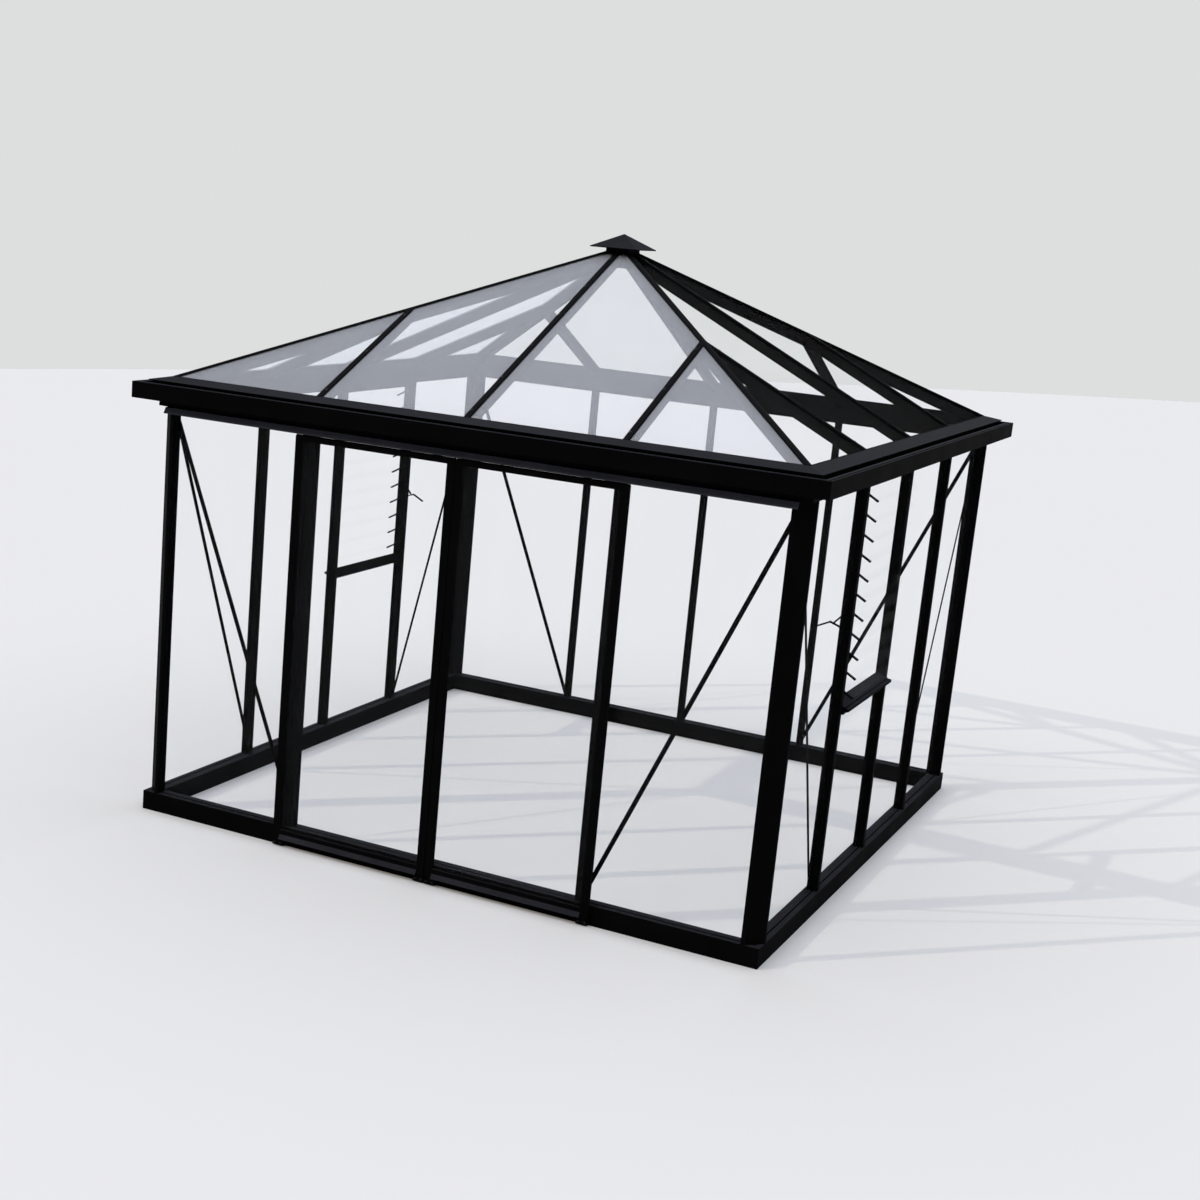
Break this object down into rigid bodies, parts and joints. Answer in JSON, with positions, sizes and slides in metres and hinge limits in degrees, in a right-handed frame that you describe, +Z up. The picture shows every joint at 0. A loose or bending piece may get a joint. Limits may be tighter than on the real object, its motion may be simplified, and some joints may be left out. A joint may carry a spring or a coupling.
{
  "type": "glass greenhouse",
  "caption": "Square glass greenhouse with a black frame, pyramid roof, sliding double doors, louvre windows, gutters and diagonal braces.",
  "frame": {"origin": "on the ground, under the centre of the gutter's square outline and the roof's peak", "axes": "+X to the right along the door wall seen from outside, +Y from the door wall to the back wall, +Z up"},
  "size_m": [3.278, 3.278, 2.8536],
  "materials": {
    "frame": "fine-textured black powder coat on aluminium",
    "eaves_frame": "fine-textured black powder coat on aluminium",
    "door_frame": "fine-textured black powder coat on aluminium",
    "door_running_gear": "black nylon wheels and guide pins on dark hanger plates",
    "louvre_lever": "moulded black plastic",
    "roof_glass": "clear toughened glass, 4 mm",
    "wall_glass": "clear toughened glass, 4 mm"
  },
  "bodies": {
    "greenhouse": {"base_front": "frame", "base_right": "frame", "base_back": "frame", "base_left": "frame", "corner_posts": "frame", "front_posts": "frame", "right_posts": "frame", "back_posts": "frame", "left_posts": "frame", "eaves_beam_front": "eaves_frame", "eaves_beam_right": "eaves_frame", "eaves_beam_back": "eaves_frame", "eaves_beam_left": "eaves_frame", "gutter_front": "eaves_frame", "gutter_right": "eaves_frame", "gutter_back": "eaves_frame", "gutter_left": "eaves_frame", "eaves_covers_front_back": "eaves_frame", "eaves_covers_sides": "eaves_frame", "hip_rafters": "frame", "centre_rafters": "frame", "jack_rafters": "frame", "roof_hub": "frame", "roof_cap": "eaves_frame", "roof_glass_front": "roof_glass", "roof_glass_right": "roof_glass", "roof_glass_back": "roof_glass", "roof_glass_left": "roof_glass", "wall_glass_front": "wall_glass", "wall_glass_right": "wall_glass", "wall_glass_back": "wall_glass", "wall_glass_left": "wall_glass", "door_track": "frame", "door_hood": "eaves_frame", "louvre_frame_right": "frame", "louvre_frame_left": "frame", "louvre_blades": "wall_glass", "louvre_levers": "louvre_lever", "wall_braces": "frame"},
    "door_left": {"door_left_frame": "door_frame", "door_left_glass": "wall_glass", "door_left_hangers": "door_running_gear"},
    "door_right": {"door_right_frame": "door_frame", "door_right_glass": "wall_glass", "door_right_hangers": "door_running_gear"}
  },
  "joints": [
    {"name": "door_left_slide", "type": "slide", "parent": "greenhouse", "child": "door_left", "axis": [-1, 0, 0], "range_m": [0, 0.7]},
    {"name": "door_right_slide", "type": "slide", "parent": "greenhouse", "child": "door_right", "axis": [1, 0, 0], "range_m": [0, 0.7]}
  ]
}
